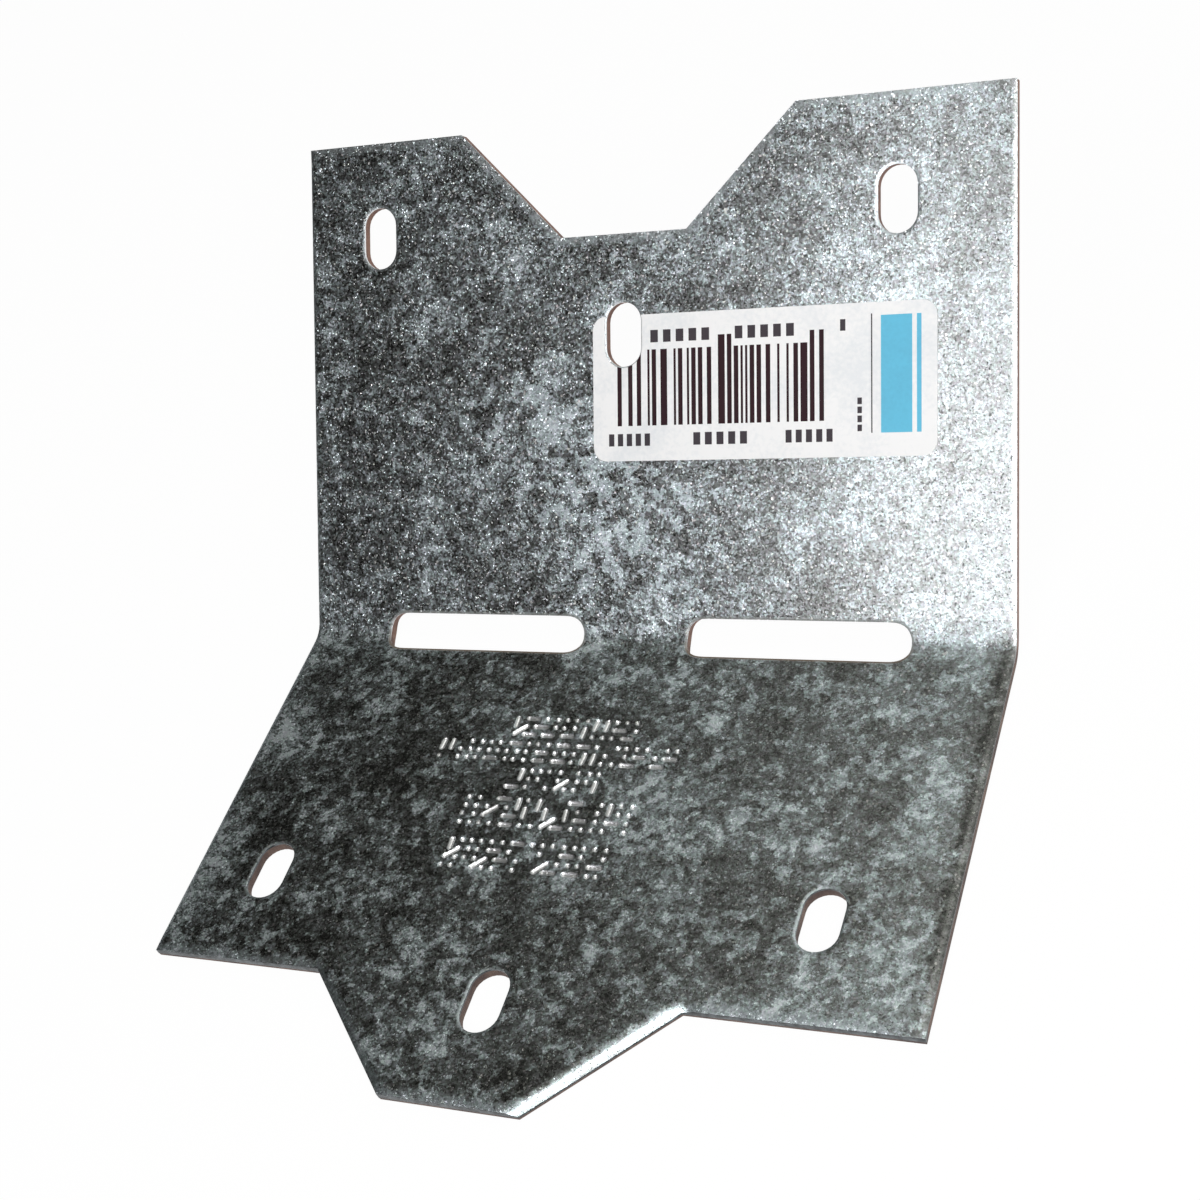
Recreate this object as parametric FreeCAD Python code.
"""Skewable angle: a galvanised plate, punched flat and folded once, with a paper label on its raised leg.

The flat leg lies on z = 0 and reaches towards -Y. The raised leg climbs towards +Y. X runs along the fold,
and the origin lies under the middle of the fold's axis, where the flat leg's underside runs into the bend.
Each leg is drawn in its own plane: x along the fold, reach away from the sharp fold line of the inner faces.
"""
import FreeCAD, Part
import math
import os

from FreeCAD import Vector

# Plate, in millimetres and degrees
PLATE_LENGTH = 85.7
LEG_REACH = 58.2
THICKNESS = 1.27
FOLD_TURN = 45.0
FOLD_INNER_RADIUS = 1.6

# Notch of the raised leg and tab of the flat leg: one shape, because blanks nest in the strip
TAB_HEIGHT = 12.8
TAB_END_WIDTH = 15.4
TAB_FLANK_ANGLE = 45.0
PUNCH_SHIFT = -1.45

# Nail slots, in two staggered rows on each leg
NAIL_SLOT_WIDTH = 4.35
NAIL_SLOT_LENGTH = 7.2
NAIL_SPACING = 31.75
NAIL_ROW_STEP = 12.7
NAIL_EDGE_DISTANCE = 11.3

# Slots on the fold, which leave three webs to bend
FOLD_SLOT_WIDTH = 5.0
FOLD_SLOT_LENGTH = 25.7
FOLD_SLOT_SPACING = 38.5
FOLD_SLOT_SHIFT = -0.3

# Edges that the punch rolls over, on the inner faces
ROLLED_EDGE_RADIUS = 0.35

# Label on the raised leg
LABEL_LENGTH = 39.8
LABEL_HEIGHT = 16.2
LABEL_THICKNESS = 0.12
LABEL_CORNER_RADIUS = 1.6
LABEL_LEFT = -5.2
LABEL_BOTTOM = 20.1
LABEL_SLOT_MARGIN = 0.45

# Sizes worked out from those above
OUTER_RADIUS = FOLD_INNER_RADIUS + THICKNESS
HALF_TURN = math.radians(FOLD_TURN) / 2
SETBACK = FOLD_INNER_RADIUS * math.tan(HALF_TURN)
BEND_HALF_WIDTH = (FOLD_INNER_RADIUS + THICKNESS / 2) * HALF_TURN
TAB_BASE_WIDTH = TAB_END_WIDTH + 2 * TAB_HEIGHT / math.tan(math.radians(TAB_FLANK_ANGLE))
LAND_REACH = LEG_REACH - TAB_HEIGHT
OUTER_ROW = LEG_REACH - NAIL_EDGE_DISTANCE
INNER_ROW = OUTER_ROW - NAIL_ROW_STEP
CUT_DEPTH = 3 * THICKNESS
TOLERANCE = 1e-6

FOLD_LINE = Vector(0, SETBACK, THICKNESS)
FLAT_LEG = FreeCAD.Placement(FOLD_LINE, FreeCAD.Rotation(Vector(1, 0, 0), 180))
RAISED_LEG = FreeCAD.Placement(FOLD_LINE, FreeCAD.Rotation(Vector(1, 0, 0), FOLD_TURN))

INNER_NORMALS = [Vector(0, 0, 1), Vector(0, -math.sin(2 * HALF_TURN), math.cos(2 * HALF_TURN))]

RAISED_SLOTS = [
    (PUNCH_SHIFT - NAIL_SPACING, OUTER_ROW),
    (PUNCH_SHIFT, INNER_ROW),
    (PUNCH_SHIFT + NAIL_SPACING, OUTER_ROW),
]
FLAT_SLOTS = [
    (PUNCH_SHIFT - NAIL_SPACING, INNER_ROW),
    (PUNCH_SHIFT, OUTER_ROW),
    (PUNCH_SHIFT + NAIL_SPACING, INNER_ROW),
]


def on_circle(radius, angle):
    """A point of the fold's section at a radius from the bend's axis, in the plane x = 0."""
    return Vector(0, radius * math.sin(angle), OUTER_RADIUS - radius * math.cos(angle))


def prism(edges, leg, depth=CUT_DEPTH):
    """A flat outline in a leg's plane, thickened to both sides of its inner face and laid on that leg."""
    face = Part.Face(Part.Wire(edges))
    solid = face.extrude(Vector(0, 0, 2 * depth))
    solid.translate(Vector(0, 0, -depth))
    solid.Placement = leg.multiply(solid.Placement)
    return solid


def polygon(points):
    """The edges of a closed outline through (x, reach) points."""
    corners = [Vector(x, reach, 0) for x, reach in points]
    return [Part.LineSegment(a, b).toShape() for a, b in zip(corners, corners[1:] + corners[:1])]


def rounded_rectangle(left, bottom, width, height, radius):
    """The edges of a rectangle whose corners are quarter circles."""
    right = left + width
    top = bottom + height
    centres = [
        (right - radius, top - radius),
        (left + radius, top - radius),
        (left + radius, bottom + radius),
        (right - radius, bottom + radius),
    ]
    arcs = []
    for quarter, (x, reach) in enumerate(centres):
        start, middle, end = [
            Vector(x + radius * math.cos(angle), reach + radius * math.sin(angle), 0)
            for angle in (quarter * math.pi / 2 + step * math.pi / 4 for step in range(3))
        ]
        arcs.append((start, middle, end))
    edges = []
    for (start, middle, end), following in zip(arcs, arcs[1:] + arcs[:1]):
        edges.append(Part.Arc(start, middle, end).toShape())
        if end.distanceToPoint(following[0]) > TOLERANCE:
            edges.append(Part.LineSegment(end, following[0]).toShape())
    return edges


def nail_slot(x, reach, leg, margin=0.0):
    """A slot with round ends that runs across the fold's direction, grown by a margin all round."""
    width = NAIL_SLOT_WIDTH + 2 * margin
    length = NAIL_SLOT_LENGTH + 2 * margin
    return prism(rounded_rectangle(x - width / 2, reach - length / 2, width, length, width / 2), leg)


def fold_slot_half(x, leg):
    """One leg's share of a slot on the fold, from the end of the bend to the slot's long edge."""
    half = FOLD_SLOT_LENGTH / 2
    corner = math.sqrt((FOLD_SLOT_WIDTH / 2) ** 2 - BEND_HALF_WIDTH ** 2)
    height = FOLD_SLOT_WIDTH / 2 - BEND_HALF_WIDTH
    top = SETBACK + height
    right_round = Part.Ellipse(Vector(x + half - corner, SETBACK, 0), corner, height)
    left_round = Part.Ellipse(Vector(x - half + corner, SETBACK, 0), corner, height)
    outline = [
        Part.LineSegment(Vector(x - half, SETBACK, 0), Vector(x + half, SETBACK, 0)),
        Part.ArcOfEllipse(right_round, 0, math.pi / 2),
        Part.LineSegment(Vector(x + half - corner, top, 0), Vector(x - half + corner, top, 0)),
        Part.ArcOfEllipse(left_round, math.pi / 2, math.pi),
    ]
    return prism([line.toShape() for line in outline], leg)


def fold_slot(x):
    """A slot on the fold: a block turned through the bend, and its rounded share of each leg."""
    half = FOLD_SLOT_LENGTH / 2
    inside = OUTER_RADIUS - FOLD_INNER_RADIUS / 2
    outside = -THICKNESS
    corners = [(x - half, outside), (x + half, outside), (x + half, inside), (x - half, inside)]
    ring = [Vector(along, 0, height) for along, height in corners + corners[:1]]
    section = Part.Face(Part.makePolygon(ring))
    bend = section.revolve(Vector(0, 0, OUTER_RADIUS), Vector(1, 0, 0), FOLD_TURN)
    return [bend, fold_slot_half(x, FLAT_LEG), fold_slot_half(x, RAISED_LEG)]


def tab_outline():
    """The tab's four corners from the land line to its end, which are the notch's corners too."""
    base = TAB_BASE_WIDTH / 2
    end = TAB_END_WIDTH / 2
    return [
        (PUNCH_SHIFT - base, LAND_REACH),
        (PUNCH_SHIFT - end, LEG_REACH),
        (PUNCH_SHIFT + end, LEG_REACH),
        (PUNCH_SHIFT + base, LAND_REACH),
    ]


def notch():
    """What is missing from the raised leg: the neighbouring blank's tab, pointing at the fold."""
    facing = [(x, LEG_REACH + LAND_REACH - reach) for x, reach in tab_outline()]
    return prism(polygon(facing), RAISED_LEG)


def beside_tab():
    """What is missing from the flat leg: the end strip on both sides of its tab."""
    half = PLATE_LENGTH / 2
    strip = [(-half, LAND_REACH), (-half, LEG_REACH), (half, LEG_REACH), (half, LAND_REACH)]
    return prism(polygon(strip), FLAT_LEG).cut(prism(polygon(tab_outline()), FLAT_LEG, 2 * CUT_DEPTH))


def folded_sheet():
    """The whole sheet after the fold: its section, two legs and an arc between them, run along X."""
    turn = 2 * HALF_TURN
    leg = LEG_REACH - SETBACK
    along = Vector(0, math.cos(turn), math.sin(turn)) * leg
    under_end = Vector(0, -leg, 0)
    inner_end = Vector(0, -leg, THICKNESS)
    outer_start, outer_middle, outer_end = [on_circle(OUTER_RADIUS, a) for a in (0, HALF_TURN, turn)]
    inner_start, inner_middle, inner_end_of_arc = [
        on_circle(FOLD_INNER_RADIUS, a) for a in (0, HALF_TURN, turn)
    ]
    section = [
        Part.LineSegment(under_end, outer_start),
        Part.Arc(outer_start, outer_middle, outer_end),
        Part.LineSegment(outer_end, outer_end + along),
        Part.LineSegment(outer_end + along, inner_end_of_arc + along),
        Part.LineSegment(inner_end_of_arc + along, inner_end_of_arc),
        Part.Arc(inner_end_of_arc, inner_middle, inner_start),
        Part.LineSegment(inner_start, inner_end),
        Part.LineSegment(inner_end, under_end),
    ]
    sheet = Part.Face(Part.Wire([line.toShape() for line in section])).extrude(Vector(PLATE_LENGTH, 0, 0))
    sheet.translate(Vector(-PLATE_LENGTH / 2, 0, 0))
    return sheet


def is_inner(face):
    """Whether a face of the plate is on its inner side, where the legs face each other."""
    if isinstance(face.Surface, Part.Cylinder):
        return abs(face.Surface.Radius - FOLD_INNER_RADIUS) < TOLERANCE
    if not isinstance(face.Surface, Part.Plane):
        return False
    normal = face.normalAt(0, 0)
    return any(normal.isEqual(wanted, TOLERANCE) for wanted in INNER_NORMALS)


def rolled_edges(plate):
    """The edges that bound the inner side: those that belong to only one of its faces."""
    edges = [edge for face in plate.Faces if is_inner(face) for edge in face.Edges]
    return [edge for edge in edges if sum(edge.isSame(other) for other in edges) == 1]


def angle_plate():
    """The folded sheet with everything that the punch takes out, and its rolled edges."""
    cutters = [notch(), beside_tab()]
    cutters += [nail_slot(x, reach, RAISED_LEG) for x, reach in RAISED_SLOTS]
    cutters += [nail_slot(x, reach, FLAT_LEG) for x, reach in FLAT_SLOTS]
    for side in (-1, 1):
        cutters += fold_slot(FOLD_SLOT_SHIFT + side * FOLD_SLOT_SPACING / 2)
    plate = folded_sheet().cut(cutters).removeSplitter()
    return plate.makeFillet(ROLLED_EDGE_RADIUS, rolled_edges(plate))


def label():
    """The paper label, laid on the raised leg's inner face and cut away round the middle nail slot."""
    outline = rounded_rectangle(LABEL_LEFT, LABEL_BOTTOM, LABEL_LENGTH, LABEL_HEIGHT, LABEL_CORNER_RADIUS)
    paper = Part.Face(Part.Wire(outline)).extrude(Vector(0, 0, LABEL_THICKNESS))
    paper.Placement = RAISED_LEG.multiply(paper.Placement)
    x, reach = RAISED_SLOTS[1]
    return paper.cut(nail_slot(x, reach, RAISED_LEG, LABEL_SLOT_MARGIN))


os.makedirs("parts", exist_ok=True)
angle_plate().exportStep("parts/angle_plate.step")
label().exportStep("parts/label.step")
